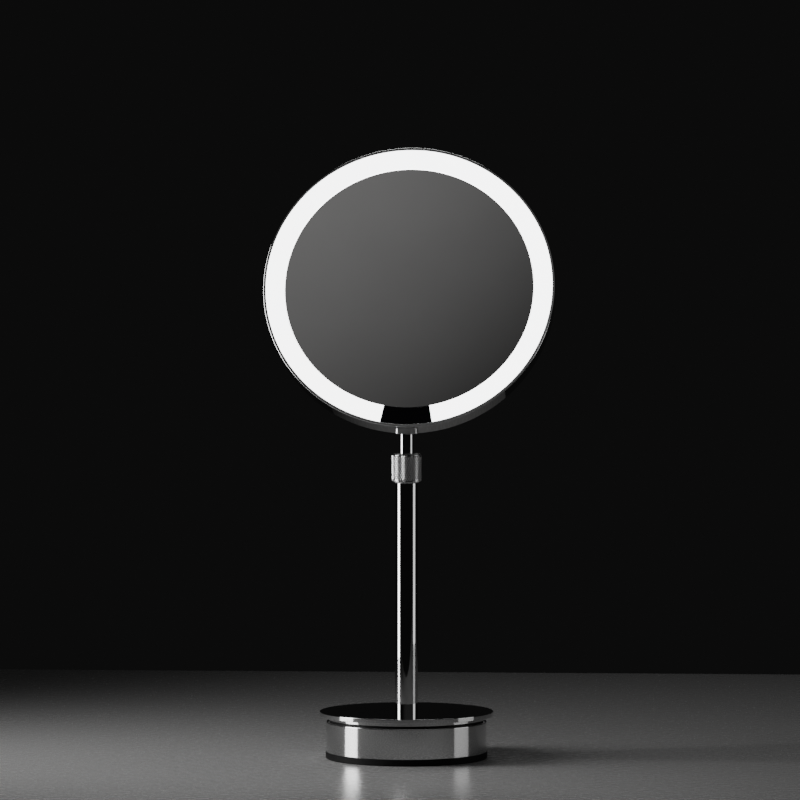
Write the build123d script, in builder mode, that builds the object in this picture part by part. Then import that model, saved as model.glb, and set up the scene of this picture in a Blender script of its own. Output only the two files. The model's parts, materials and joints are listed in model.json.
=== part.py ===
from build123d import *
import os
from math import cos, radians, sin, sqrt

# Lighted vanity mirror on a telescopic stem.
# Frame: +Z up, the head faces -Y, the origin is the centre of the foot's underside, on the stem's axis.
# Rest pose: the rod a little way out of its tube and the head leaning back.

os.makedirs("parts", exist_ok=True)

# ------------------------------------------------------------------ fits
running = 0.05  # radial clearance of a piece that turns or slides in another
seated = 0.03  # radial clearance of a piece that is pressed or glued in place
gap = 0.3  # clearance between neighbours that never touch

# ------------------------------------------------------------------ base
base_height = 35.0
disc_radius = 65.0
disc_rim = 3.3  # height of the upright rim
disc_edge = 0.4
skirt_radius = 59.4  # the step under the disc's rim
skirt_height = 2.4
spacer_height = 1.7
spacer_radius = 57.5
spacer_bore_radius = 20.0
shell_radius = 60.0
shell_wall = 2.0
shell_shoulder = 0.8  # rounding of the shell's top edge
shell_hem = 0.5  # rounding of the shell's bottom edge
foot_radius = 60.6
foot_height = 4.6
foot_bevel = 0.7
plate_thickness = 2.0
ballast_radius = 56.5
ballast_height = 7.0
ballast_bore_radius = 14.0
screw_circle_radius = 49.0
base_screw_count = 4
base_screw_turn = 45.0
base_boss_radius = 4.0
base_screw_radius = 1.5
base_screw_head_radius = 2.9
base_screw_head_height = 1.6
base_screw_length = 13.0
grip_groove_radii = (20.0, 34.0, 48.0)
grip_groove_width = 2.0
grip_groove_depth = 0.8

battery_size = (58.0, 30.0, 9.0)
battery_y = -31.0
battery_corner = 2.0
battery_edge = 1.0
pad_thickness = 0.8
board_size = (44.0, 22.0, 1.6)
board_y = 39.0
board_corner = 1.0
charger_chip_size = (7.0, 7.0)
charger_chip_places = ((-12.0, -3.0), (13.0, -4.0))
switch_chip_size = (5.0, 4.0)
switch_chip_place = (0.0, -6.0)
chip_height = 1.4
spacer_post_height = 1.0
spacer_post_radius = 2.0
inlet_width = 9.0
inlet_height = 3.2
inlet_length = 8.4
inlet_wall = 0.35
inlet_floor = 2.0
inlet_tongue = (6.7, 0.7)
base_lead_bend = 4.0

# ------------------------------------------------------------------ stem
tube_radius = 8.5
tube_wall = 1.4
tube_seat = 2.0  # depth of the tube's seat in the top disc
tube_top = 206.0
plug_height = 10.0
stud_radius = 5.0
stud_bottom = 18.0
lead_bore_radius = 3.0
nut_across_flats = 17.0
nut_height = 4.6
nut_chamfer = 0.4
washer_thickness = 1.4
washer_radius = 11.0

rod_radius = 5.4
rod_wall = 1.6
rod_chamfer = 0.4
rod_bottom = 75.7
bush_bottom = 76.0
bush_height = 19.0
end_cap_height = 3.6
end_cap_radius = 6.6
snap_ring_height = 1.2
snap_ring_radius = 6.7

ferrule_radius = 9.6
ferrule_flare = 0.8  # height of the cone under the ferrule
ferrule_height = 1.0
collet_shank = 17.0  # length of the collet body inside the tube
collet_nose_radius = 8.4
collet_nose_height = 17.0
collet_taper_height = 5.0
collet_tip_radius = 7.0
collet_slot_width = 0.8
collet_slot_depth = 11.0

collar_radius = 11.4
collar_height = 20.9
collar_bevel = 0.3
collar_cone_height = 0.8  # the plain cone on top of the knurled grip
collar_cone_radius = 10.9
collar_cone_tip_radius = 9.9
collar_mouth_radius = 5.7

lead_radius = 1.3
lead_coil_radius = 4.2

# ------------------------------------------------------------------ head
head_tilt = 17.4  # lean of the head away from upright, in the rest pose
head_radius = 110.3
head_depth = 19.5
band_wall = 2.1
band_edge = 0.8  # rounding of the band's front and rear edges
ring_recess = 0.3  # the diffuser's outer edge behind the band's front edge
ring_inner_radius = 94.5
ring_drop = 3.0  # the ring's inner edge lies this far behind its outer edge
ring_thickness = 1.6
window_half_angle = 10.4
window_gap_angle = 0.05

glass_radius = 94.3
glass_thickness = 2.0
glass_bevel = 0.3
glass_setback = 4.0  # the glass's front edge behind the band's front edge
mirror_curve = 750.0  # radius of curvature of a threefold shaving or make-up mirror
mirror_pad_radius = 82.0
glass_rim_gap = 0.5

flange_front = 6.5  # the carrier's flange, behind the band's front edge
flange_thickness = 1.6
led_board_thickness = 1.0
led_board_inner_radius = 95.2
led_board_outer_radius = 107.4
led_count = 60
led_circle_radius = 103.0
led_size = (2.8, 3.5, 0.8)
led_gap_angle = 14.0  # no LED nearer to the chin than this
led_end_angle = 1.0  # from the board's end to the first LED, and beyond
sensor_board_radius = 97.5
sensor_board_size = (36.0, 4.6)
sensor_size = (3.6, 2.6, 0.6)
sensor_spacing = 8.0

cover_thickness = 1.8
cover_dome = 4.0
cover_dome_radius = 100.0
cover_screw_circle = 96.0
cover_screw_count = 6
cover_boss_radius = 3.5
small_screw_radius = 1.25
small_screw_head_radius = 2.4
small_screw_head_height = 1.5

driver_size = (60.0, 34.0, 1.6)
driver_corner = 1.5
inductor_size = (9.0, 9.0)
inductor_place = (-18.0, 4.0)
controller_size = (6.0, 6.0)
controller_place = (0.0, 5.0)
plug_size = (8.0, 6.0)
plug_place = (17.0, -4.0)
capacitor_size = (3.0, 4.0)
capacitor_places = ((6.0, -8.0), (-8.0, -8.0))
driver_part_height = 1.6
head_lead_bend = 3.0
driver_depth = 16.2  # the driver board's front face behind the band's front edge
driver_post_radius = 2.5

# ------------------------------------------------------------------ hinge
pivot_depth = 8.0  # the tilt axis behind the band's front edge
pivot_inset = 5.5  # the tilt axis inside the band's outer face
pivot_height = 251.1
knuckle_width = 16.4
knuckle_thickness = 8.0
knuckle_corner = 2.8
knuckle_bottom = 242.8
knuckle_shoulder = 4.1  # the wide part ends this far under the tilt axis
tongue_width = 14.0
spigot_length = 10.0
pin_radius = 1.6
pin_inner_end = 2.6
pin_head_radius = 2.5
pin_head_height = 1.6
washer_gap = 0.05
friction_washer_thickness = 0.8
friction_washer_radius = 2.9
ear_thickness = 2.0
ear_radius = 2.7
slot_side_gap = 0.3
slot_front = 5.9  # the chin slot's reach in front of the tilt axis
slot_rear = 8.7  # and behind it
web_near = 8.0  # the bracket's web, measured from the tilt axis towards the head's centre
web_far = 21.0
web_front = -2.0
web_thickness = 1.6
web_half_width = 22.0
web_window = (10.0, 9.0)
bracket_screw_x = 17.0
bracket_screw_reach = 14.5
notch_half_width = 15.5
notch_radius = 94.0

# ------------------------------------------------------------------ levels and planes worked out from these
plate_top = foot_height + plate_thickness
ballast_top = plate_top + ballast_height
rim_bottom = base_height - disc_rim
disc_bottom = rim_bottom - skirt_height
shell_top = disc_bottom - spacer_height
roof_underside = shell_top - shell_wall
tube_bottom = base_height - tube_seat
tube_bore = tube_radius - tube_wall
plug_top = tube_bottom + plug_height
board_bottom = ballast_top + spacer_post_height
board_top = board_bottom + board_size[2]
inlet_z = board_top + inlet_height / 2
battery_bottom = ballast_top + pad_thickness
rod_bore = rod_radius - rod_wall
bush_top = bush_bottom + bush_height
cap_bottom = rod_bottom - end_cap_height
ferrule_top = tube_top + ferrule_height
collet_top = ferrule_top + collet_nose_height
collar_bottom = ferrule_top + 2 * running
collar_top = collar_bottom + collar_height
grip_top = collar_top - collar_cone_height

tilt_cos = cos(radians(head_tilt))
tilt_sin = sin(radians(head_tilt))
head_up = Vector(0, tilt_sin, tilt_cos)
head_front = Vector(0, -tilt_cos, tilt_sin)
pivot = Vector(0, 0, pivot_height)
pivot_radius = head_radius - pivot_inset
head_centre = pivot + head_up * pivot_radius + head_front * pivot_depth

# On face_plane x is to the side, y up the head and z to the front, from the band's front edge.
face_plane = Plane(origin=head_centre, x_dir=(1, 0, 0), z_dir=head_front)
# On head_section x is the radius and y the way to the front.
head_section = Plane(origin=head_centre, x_dir=head_up, z_dir=(1, 0, 0))
head_axis = Axis(head_centre, head_front)
# On chin_plane y is to the front and z out of the chin, from the tilt axis.
chin_plane = Plane(origin=pivot, x_dir=(1, 0, 0), z_dir=head_up * -1)
# On hinge_side x is the way to the head's centre and y the way to the front, from the tilt axis.
hinge_side = Plane(origin=pivot, x_dir=head_up, z_dir=(1, 0, 0))

band_bore = head_radius - band_wall
ring_outer_radius = band_bore - seated
glass_centre = -glass_setback - (mirror_curve - sqrt(mirror_curve**2 - glass_radius**2))
pad_front = glass_centre - glass_thickness
carrier_front = pad_front - pad_thickness
carrier_radius = band_bore - 2 * seated
carrier_dish_radius = glass_radius + glass_rim_gap
flange_back = -flange_front - flange_thickness
cover_rim_front = -head_depth + cover_thickness
led_board_front = -flange_front + led_board_thickness
cover_boss_end = -head_depth + cover_thickness + gap / 2
web_face = -pivot_depth + web_front
bracket_screw_height = bracket_screw_reach - pivot_radius
bracket_screw_places = [(-bracket_screw_x, bracket_screw_height), (bracket_screw_x, bracket_screw_height)]
led_start_angle = led_gap_angle + led_end_angle
board_post_grid = (board_size[0] - 3 * spacer_post_radius, board_size[1] - 3 * spacer_post_radius)
driver_post_grid = (driver_size[0] - 3 * driver_post_radius, driver_size[1] - 3 * driver_post_radius)
ear_start = tongue_width / 2 + 2 * washer_gap + friction_washer_thickness


# ------------------------------------------------------------------ helpers
def outline(points, plane=Plane.XZ):
    """The face inside a closed run of straight lines."""
    with BuildSketch(plane) as face:
        with BuildLine():
            Polyline(*points, close=True)
        make_face()
    return face.sketch


def ring_outline(inner, outer, bottom, top, plane=Plane.XZ):
    """The cross-section of a plain ring."""
    return outline([(inner, bottom), (outer, bottom), (outer, top), (inner, top)], plane)


def dish(radius):
    """How far the mirror's curve has risen at this radius."""
    return mirror_curve - sqrt(mirror_curve**2 - radius**2)


def dished_outline(radius, front, thickness):
    """The cross-section of a sheet that follows the mirror's curve."""
    half = radius / 2
    back = front - thickness
    with BuildSketch(head_section) as face:
        with BuildLine():
            ThreePointArc((0, front), (half, front + dish(half)), (radius, front + dish(radius)))
            Line((radius, front + dish(radius)), (radius, back + dish(radius)))
            ThreePointArc((radius, back + dish(radius)), (half, back + dish(half)), (0, back))
            Line((0, back), (0, front))
        make_face()
    return face.sketch


def chin_wedge(half_angle):
    """A wedge about the chin, seen from the front, with both sides radial."""
    reach = 2 * head_radius
    side = reach * sin(radians(half_angle))
    drop = -reach * cos(radians(half_angle))
    return outline([(0, 0), (-side, drop), (side, drop)], face_plane)


def lead(path_plane, points, bend, radius):
    """A round lead along straight runs with equal bends."""
    with BuildPart() as wire:
        with BuildLine(path_plane) as route:
            FilletPolyline(*points, radius=bend)
        with BuildSketch(Plane(origin=route.line @ 0, z_dir=route.line % 0)):
            Circle(radius)
        sweep(path=route.line)
    return wire.part


def save(piece, name):
    """Label a finished piece and write it under its own name."""
    piece.label = name
    export_step(piece, f"parts/{name}.step")


# ================================================================== base
with BuildPart() as rubber_foot:
    with BuildSketch():
        Circle(foot_radius)
    extrude(amount=foot_height)
    chamfer(rubber_foot.edges().group_by(Axis.Z)[0], foot_bevel)
    for groove_radius in grip_groove_radii:
        revolve(
            ring_outline(groove_radius, groove_radius + grip_groove_width, 0, grip_groove_depth),
            axis=Axis.Z,
            mode=Mode.SUBTRACT,
        )
save(rubber_foot.part, "rubber_foot")

with BuildPart() as base_plate:
    with BuildSketch(Plane.XY.offset(foot_height)):
        Circle(shell_radius - shell_wall - seated)
    extrude(amount=plate_thickness)
    with Locations(Plane.XY.offset(foot_height)):
        with PolarLocations(screw_circle_radius, base_screw_count, start_angle=base_screw_turn):
            Cylinder(
                base_screw_head_radius + running,
                base_screw_head_height,
                align=(Align.CENTER, Align.CENTER, Align.MIN),
                mode=Mode.SUBTRACT,
            )
            Hole(base_screw_radius + running)
save(base_plate.part, "base_plate")

with BuildPart() as ballast_weight:
    with BuildSketch(Plane.XY.offset(plate_top)):
        Circle(ballast_radius)
        Circle(ballast_bore_radius, mode=Mode.SUBTRACT)
        with PolarLocations(screw_circle_radius, base_screw_count, start_angle=base_screw_turn):
            Circle(base_boss_radius + gap, mode=Mode.SUBTRACT)
    extrude(amount=ballast_height)
save(ballast_weight.part, "ballast_weight")

with BuildPart() as base_shell:
    revolve(
        outline(
            [
                (shell_radius - shell_wall, foot_height),
                (shell_radius, foot_height),
                (shell_radius, shell_top),
                (stud_radius + running, shell_top),
                (stud_radius + running, roof_underside),
                (shell_radius - shell_wall, roof_underside),
            ]
        ),
        axis=Axis.Z,
    )
    rims = base_shell.edges().filter_by(GeomType.CIRCLE).group_by(Axis.Z)
    fillet(rims[-1].sort_by(SortBy.RADIUS)[-1], shell_shoulder)
    fillet(rims[0].sort_by(SortBy.RADIUS)[-1], shell_hem)
    with BuildSketch(Plane.XY.offset(plate_top)):
        with PolarLocations(screw_circle_radius, base_screw_count, start_angle=base_screw_turn):
            Circle(base_boss_radius)
            Circle(base_screw_radius + seated, mode=Mode.SUBTRACT)
    extrude(amount=roof_underside - plate_top)
    with BuildSketch(Plane.XZ.offset(-shell_radius - gap)):
        with Locations((0, inlet_z)):
            RectangleRounded(inlet_width + 2 * seated, inlet_height + 2 * seated, inlet_height / 2 - seated)
    extrude(amount=2 * shell_wall, mode=Mode.SUBTRACT)
save(base_shell.part, "base_shell")

with BuildPart() as base_screws:
    with Locations(Plane.XY.offset(foot_height)):
        with PolarLocations(screw_circle_radius, base_screw_count, start_angle=base_screw_turn):
            Cylinder(
                base_screw_head_radius,
                base_screw_head_height,
                align=(Align.CENTER, Align.CENTER, Align.MIN),
            )
            Cylinder(
                base_screw_radius,
                base_screw_length,
                align=(Align.CENTER, Align.CENTER, Align.MIN),
            )
save(base_screws.part, "base_screws")

with BuildPart() as spacer_ring:
    revolve(ring_outline(spacer_bore_radius, spacer_radius, shell_top, disc_bottom), axis=Axis.Z)
save(spacer_ring.part, "spacer_ring")

with BuildPart() as base_disc:
    revolve(
        outline(
            [
                (stud_radius + running, disc_bottom),
                (skirt_radius, disc_bottom),
                (skirt_radius, rim_bottom),
                (disc_radius, rim_bottom),
                (disc_radius, base_height),
                (tube_radius + seated, base_height),
                (tube_radius + seated, tube_bottom),
                (stud_radius + running, tube_bottom),
            ]
        ),
        axis=Axis.Z,
    )
    top_rims = base_disc.edges().filter_by(GeomType.CIRCLE).group_by(Axis.Z)[-1]
    fillet(top_rims.sort_by(SortBy.RADIUS)[-1], disc_edge)
save(base_disc.part, "base_disc")

with BuildPart() as battery_pad:
    with BuildSketch(Plane.XY.offset(ballast_top)):
        with Locations((0, battery_y)):
            RectangleRounded(battery_size[0], battery_size[1], battery_corner)
        Circle(ballast_bore_radius + gap, mode=Mode.SUBTRACT)
    extrude(amount=pad_thickness)
save(battery_pad.part, "battery_pad")

with BuildPart() as battery_pack:
    with BuildSketch(Plane.XY.offset(battery_bottom)):
        with Locations((0, battery_y)):
            RectangleRounded(battery_size[0], battery_size[1], battery_corner)
    extrude(amount=battery_size[2])
    fillet(battery_pack.edges().group_by(Axis.Z)[-1], battery_edge)
save(battery_pack.part, "battery_pack")

with BuildPart() as board_spacers:
    with BuildSketch(Plane.XY.offset(ballast_top)):
        with Locations((0, board_y)):
            with GridLocations(*board_post_grid, 2, 2):
                Circle(spacer_post_radius)
    extrude(amount=spacer_post_height)
save(board_spacers.part, "board_spacers")

with BuildPart() as control_board:
    with BuildSketch(Plane.XY.offset(board_bottom)):
        with Locations((0, board_y)):
            RectangleRounded(board_size[0], board_size[1], board_corner)
    extrude(amount=board_size[2])
    with BuildSketch(Plane(origin=(0, board_y, board_top))):
        with Locations(*charger_chip_places):
            Rectangle(*charger_chip_size)
        with Locations(switch_chip_place):
            Rectangle(*switch_chip_size)
    extrude(amount=chip_height)
save(control_board.part, "control_board")

with BuildPart() as charging_socket:
    with BuildSketch(Plane.XZ.offset(-shell_radius + gap)):
        with Locations((0, inlet_z)):
            RectangleRounded(inlet_width, inlet_height, inlet_height / 2 - seated)
    extrude(amount=inlet_length)
    with BuildSketch(Plane.XZ.offset(-shell_radius + gap)):
        with Locations((0, inlet_z)):
            RectangleRounded(
                inlet_width - 2 * inlet_wall,
                inlet_height - 2 * inlet_wall,
                inlet_height / 2 - inlet_wall - seated,
            )
            Rectangle(*inlet_tongue, mode=Mode.SUBTRACT)
    extrude(amount=inlet_length - inlet_floor, mode=Mode.SUBTRACT)
save(charging_socket.part, "charging_socket")

# ================================================================== stem, fixed part
with BuildPart() as stem_tube:
    revolve(ring_outline(tube_bore, tube_radius, tube_bottom, tube_top), axis=Axis.Z)
save(stem_tube.part, "stem_tube")

with BuildPart() as stem_plug:
    revolve(
        outline(
            [
                (lead_bore_radius, stud_bottom),
                (stud_radius, stud_bottom),
                (stud_radius, tube_bottom),
                (tube_bore - seated, tube_bottom),
                (tube_bore - seated, plug_top),
                (lead_bore_radius, plug_top),
            ]
        ),
        axis=Axis.Z,
    )
save(stem_plug.part, "stem_plug")

with BuildPart() as stem_washer:
    revolve(
        ring_outline(stud_radius + running, washer_radius, roof_underside - washer_thickness, roof_underside),
        axis=Axis.Z,
    )
save(stem_washer.part, "stem_washer")

with BuildPart() as stem_nut:
    with BuildSketch(Plane.XY.offset(roof_underside - washer_thickness - nut_height)):
        RegularPolygon(nut_across_flats / 2, 6, major_radius=False)
        Circle(stud_radius + seated, mode=Mode.SUBTRACT)
    extrude(amount=nut_height)
    chamfer(stem_nut.edges().filter_by(GeomType.LINE).group_by(Axis.Z)[0], nut_chamfer)
save(stem_nut.part, "stem_nut")

with BuildPart() as collet_body:
    revolve(
        outline(
            [
                (rod_radius + running, tube_top - collet_shank),
                (tube_bore - seated, tube_top - collet_shank),
                (tube_bore - seated, tube_top),
                (tube_radius, tube_top),
                (ferrule_radius, tube_top + ferrule_flare),
                (ferrule_radius, ferrule_top),
                (collet_nose_radius, ferrule_top),
                (collet_nose_radius, collet_top - collet_taper_height),
                (collet_tip_radius, collet_top),
                (rod_radius + running, collet_top),
            ]
        ),
        axis=Axis.Z,
    )
    with BuildSketch(Plane.XY.offset(collet_top)):
        Rectangle(3 * collet_nose_radius, collet_slot_width)
        Rectangle(collet_slot_width, 3 * collet_nose_radius)
    extrude(amount=-collet_slot_depth, mode=Mode.SUBTRACT)
save(collet_body.part, "collet_body")

coil_bottom = plug_top + gap
with BuildPart() as coiled_lead:
    revolve(
        ring_outline(lead_coil_radius - 2 * lead_radius, lead_coil_radius, coil_bottom, cap_bottom - gap),
        axis=Axis.Z,
    )
save(coiled_lead.part, "coiled_lead")

base_lead_floor = ballast_top + lead_radius + gap
save(
    lead(
        Plane.YZ,
        [
            (0, plug_top),
            (0, base_lead_floor),
            (board_y - board_size[1] / 2 - gap, base_lead_floor),
        ],
        base_lead_bend,
        lead_radius,
    ),
    "base_lead",
)

# ================================================================== stem, clamp collar
collar_cone_bottom = collet_top - collet_taper_height + gap
with BuildPart() as clamp_collar:
    revolve(
        outline(
            [
                (collet_nose_radius + running, collar_bottom),
                (collar_radius, collar_bottom),
                (collar_radius, grip_top),
                (collar_cone_radius, grip_top),
                (collar_cone_tip_radius, collar_top),
                (collar_mouth_radius, collar_top),
                (collar_mouth_radius, collet_top + gap),
                (collet_tip_radius + running, collet_top + gap),
                (collet_nose_radius + running, collar_cone_bottom),
            ]
        ),
        axis=Axis.Z,
    )
    collar_ends = clamp_collar.edges().filter_by(GeomType.CIRCLE).group_by(SortBy.RADIUS)[-1]
    chamfer(collar_ends, collar_bevel)
save(clamp_collar.part, "clamp_collar")

# ================================================================== stem, sliding bush
with BuildPart() as rod_bush:
    revolve(ring_outline(rod_radius + running, tube_bore - running, bush_bottom, bush_top), axis=Axis.Z)
save(rod_bush.part, "rod_bush")

# ================================================================== stem, rod
with BuildPart() as inner_rod:
    revolve(ring_outline(rod_bore, rod_radius, rod_bottom, knuckle_bottom), axis=Axis.Z)
    chamfer(inner_rod.edges().group_by(Axis.Z)[-1].sort_by(SortBy.RADIUS)[-1], rod_chamfer)
save(inner_rod.part, "inner_rod")

with BuildPart() as rod_end_cap:
    revolve(
        outline(
            [
                (lead_radius + running, cap_bottom),
                (end_cap_radius, cap_bottom),
                (end_cap_radius, rod_bottom),
                (rod_bore - seated, rod_bottom),
                (rod_bore - seated, rod_bottom + 2 * end_cap_height),
                (lead_radius + running, rod_bottom + 2 * end_cap_height),
            ]
        ),
        axis=Axis.Z,
    )
save(rod_end_cap.part, "rod_end_cap")

snap_ring_bottom = bush_top + gap
snap_ring_top = snap_ring_bottom + snap_ring_height
with BuildPart() as snap_ring:
    revolve(
        ring_outline(rod_radius + seated, snap_ring_radius, snap_ring_bottom, snap_ring_top),
        axis=Axis.Z,
    )
    with BuildSketch(Plane.XY.offset(bush_top)):
        with Locations((snap_ring_radius, 0)):
            Rectangle(2 * snap_ring_height, 2 * snap_ring_height)
    extrude(amount=2 * snap_ring_height, mode=Mode.SUBTRACT)
save(snap_ring.part, "snap_ring")

rod_lead_top = pivot_height + knuckle_thickness / 2 + gap
with BuildPart() as rod_lead:
    with BuildSketch(Plane.XY.offset(cap_bottom)):
        Circle(lead_radius)
    extrude(amount=rod_lead_top - cap_bottom)
save(rod_lead.part, "rod_lead")

with BuildPart() as knuckle:
    with BuildSketch(Plane.XY.offset(knuckle_bottom)):
        RectangleRounded(knuckle_width, knuckle_thickness, knuckle_corner)
    extrude(amount=pivot_height - knuckle_shoulder - knuckle_bottom)
    with BuildSketch(Plane.XY.offset(pivot_height - knuckle_shoulder)):
        Rectangle(tongue_width, knuckle_thickness)
    extrude(amount=knuckle_shoulder)
    with BuildSketch(Plane(origin=pivot, z_dir=(1, 0, 0))):
        Circle(knuckle_thickness / 2)
    extrude(amount=tongue_width / 2, both=True)
    with BuildSketch(Plane.XY.offset(knuckle_bottom)):
        Circle(rod_bore - seated)
    extrude(amount=-spigot_length)
    with BuildSketch(Plane.XY.offset(knuckle_bottom - spigot_length)):
        Circle(lead_radius + running)
    extrude(amount=pivot_height, mode=Mode.SUBTRACT)
    for side in (-1, 1):
        with BuildSketch(Plane(origin=(side * tongue_width / 2, 0, pivot_height), z_dir=(-side, 0, 0))):
            Circle(pin_radius + running)
        extrude(amount=tongue_width / 2 - pin_inner_end + gap, mode=Mode.SUBTRACT)
save(knuckle.part, "knuckle")

# ================================================================== head, outside
with BuildPart() as head_band:
    revolve(ring_outline(band_bore, head_radius, -head_depth, 0, head_section), axis=head_axis)
    band_rims = head_band.edges().filter_by(GeomType.CIRCLE).group_by(SortBy.RADIUS)[-1]
    fillet(band_rims, band_edge)
    slot_length = slot_front + slot_rear
    with BuildSketch(chin_plane):
        with Locations((0, slot_front - slot_length / 2)):
            RectangleRounded(knuckle_width + 2 * slot_side_gap, slot_length, knuckle_corner)
    extrude(amount=2 * pivot_inset, mode=Mode.SUBTRACT)
save(head_band.part, "head_band")

ring_points = [
    (ring_inner_radius, -ring_recess - ring_drop),
    (ring_outer_radius, -ring_recess),
    (ring_outer_radius, -ring_recess - ring_thickness),
    (ring_inner_radius, -ring_recess - ring_drop - ring_thickness),
]
with BuildPart() as diffuser_ring:
    revolve(outline(ring_points, head_section), axis=head_axis)
    extrude(
        chin_wedge(window_half_angle + window_gap_angle), amount=head_depth, both=True, mode=Mode.SUBTRACT
    )
save(diffuser_ring.part, "diffuser_ring")

with BuildPart() as sensor_window:
    revolve(outline(ring_points, head_section), axis=head_axis)
    extrude(
        chin_wedge(window_half_angle - window_gap_angle), amount=head_depth, both=True, mode=Mode.INTERSECT
    )
save(sensor_window.part, "sensor_window")

with BuildPart() as mirror_glass:
    revolve(dished_outline(glass_radius, glass_centre, glass_thickness), axis=head_axis)
    glass_edges = mirror_glass.edges().filter_by(GeomType.CIRCLE).sort_by(head_axis)
    chamfer(glass_edges[-1], glass_bevel)
save(mirror_glass.part, "mirror_glass")

with BuildPart() as rear_cover:
    cover_radius = band_bore - seated
    with BuildSketch(head_section):
        with BuildLine():
            Polyline(
                (0, -head_depth - cover_dome + cover_thickness),
                (0, -head_depth - cover_dome),
            )
            ThreePointArc(
                (0, -head_depth - cover_dome),
                (cover_dome_radius / 2, -head_depth - cover_dome * 3 / 4),
                (cover_dome_radius, -head_depth),
            )
            Polyline(
                (cover_dome_radius, -head_depth),
                (cover_radius, -head_depth),
                (cover_radius, cover_rim_front),
                (cover_dome_radius, cover_rim_front),
            )
            ThreePointArc(
                (cover_dome_radius, cover_rim_front),
                (cover_dome_radius / 2, cover_rim_front - cover_dome * 3 / 4),
                (0, cover_rim_front - cover_dome),
            )
        make_face()
    revolve(axis=head_axis)
    with Locations(face_plane.offset(-head_depth + cover_thickness)):
        with PolarLocations(cover_screw_circle, cover_screw_count):
            Cylinder(small_screw_radius + running, 4 * cover_thickness, mode=Mode.SUBTRACT)
    with Locations(face_plane.offset(-head_depth + cover_thickness / 3)):
        with PolarLocations(cover_screw_circle, cover_screw_count):
            Cylinder(
                small_screw_head_radius + 4 * running,
                4 * cover_thickness,
                align=(Align.CENTER, Align.CENTER, Align.MAX),
                mode=Mode.SUBTRACT,
            )
save(rear_cover.part, "rear_cover")

with BuildPart() as cover_screws:
    with Locations(face_plane.offset(-head_depth + cover_thickness / 3)):
        with PolarLocations(cover_screw_circle, cover_screw_count):
            Cylinder(
                small_screw_head_radius,
                cover_thickness / 2,
                align=(Align.CENTER, Align.CENTER, Align.MAX),
            )
            Cylinder(
                small_screw_radius,
                4 * cover_thickness,
                align=(Align.CENTER, Align.CENTER, Align.MIN),
            )
save(cover_screws.part, "cover_screws")

# ================================================================== head, inside
with BuildPart() as mirror_pad:
    revolve(dished_outline(mirror_pad_radius, pad_front, pad_thickness), axis=head_axis)
save(mirror_pad.part, "mirror_pad")

with BuildPart() as mirror_carrier:
    carrier_back = carrier_front - flange_thickness
    half_dish = carrier_dish_radius / 2
    dish_rise = dish(carrier_dish_radius)
    with BuildSketch(head_section):
        with BuildLine():
            ThreePointArc(
                (0, carrier_front),
                (half_dish, carrier_front + dish(half_dish)),
                (carrier_dish_radius, carrier_front + dish_rise),
            )
            Polyline(
                (carrier_dish_radius, carrier_front + dish_rise),
                (carrier_dish_radius, -flange_front),
                (carrier_radius, -flange_front),
                (carrier_radius, flange_back),
                (carrier_dish_radius + flange_thickness, flange_back),
                (carrier_dish_radius, carrier_back + dish_rise),
            )
            ThreePointArc(
                (carrier_dish_radius, carrier_back + dish_rise),
                (half_dish, carrier_back + dish(half_dish)),
                (0, carrier_back),
            )
            Line((0, carrier_back), (0, carrier_front))
        make_face()
    revolve(axis=head_axis)
    with BuildSketch(face_plane.offset(flange_back)):
        with PolarLocations(cover_screw_circle, cover_screw_count):
            Circle(cover_boss_radius)
    extrude(amount=cover_boss_end - flange_back)
    with BuildSketch(face_plane.offset(-driver_depth)):
        with GridLocations(*driver_post_grid, 2, 2):
            Circle(driver_post_radius)
    extrude(amount=driver_depth + carrier_back + flange_thickness)
    with BuildSketch(face_plane.offset(web_face)):
        with Locations(*bracket_screw_places):
            Circle(small_screw_head_radius)
    extrude(amount=flange_back + gap - web_face)
    with BuildSketch(face_plane):
        with Locations((0, -notch_radius - head_radius / 2)):
            Rectangle(2 * notch_half_width, head_radius)
    extrude(amount=-head_depth, mode=Mode.SUBTRACT)
    with BuildSketch(face_plane.offset(cover_boss_end)):
        with PolarLocations(cover_screw_circle, cover_screw_count):
            Circle(small_screw_radius + seated)
        with Locations(*bracket_screw_places):
            Circle(small_screw_radius + seated)
    extrude(amount=flange_back - cover_boss_end, mode=Mode.SUBTRACT)
save(mirror_carrier.part, "mirror_carrier")

with BuildPart() as led_board:
    with BuildSketch(face_plane.offset(-flange_front)):
        Circle(led_board_outer_radius)
        Circle(led_board_inner_radius, mode=Mode.SUBTRACT)
    extrude(amount=led_board_thickness)
    extrude(chin_wedge(led_gap_angle - led_end_angle), amount=head_depth, both=True, mode=Mode.SUBTRACT)
save(led_board.part, "led_board")

with BuildPart() as led_chips:
    with BuildSketch(face_plane.offset(led_board_front)):
        with PolarLocations(
            led_circle_radius,
            led_count,
            start_angle=led_start_angle - 90,
            angular_range=360 - 2 * led_start_angle,
            endpoint=True,
        ):
            Rectangle(led_size[0], led_size[1])
    extrude(amount=led_size[2])
save(led_chips.part, "led_chips")

with BuildPart() as sensor_board:
    with BuildSketch(face_plane.offset(-flange_front)):
        with Locations((0, -sensor_board_radius)):
            Rectangle(*sensor_board_size)
    extrude(amount=led_board_thickness)
save(sensor_board.part, "sensor_board")

with BuildPart() as infrared_sensor:
    with BuildSketch(face_plane.offset(led_board_front)):
        with Locations((0, -sensor_board_radius)):
            with GridLocations(sensor_spacing, 1, 2, 1):
                Rectangle(sensor_size[0], sensor_size[1])
    extrude(amount=sensor_size[2])
save(infrared_sensor.part, "infrared_sensor")

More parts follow.
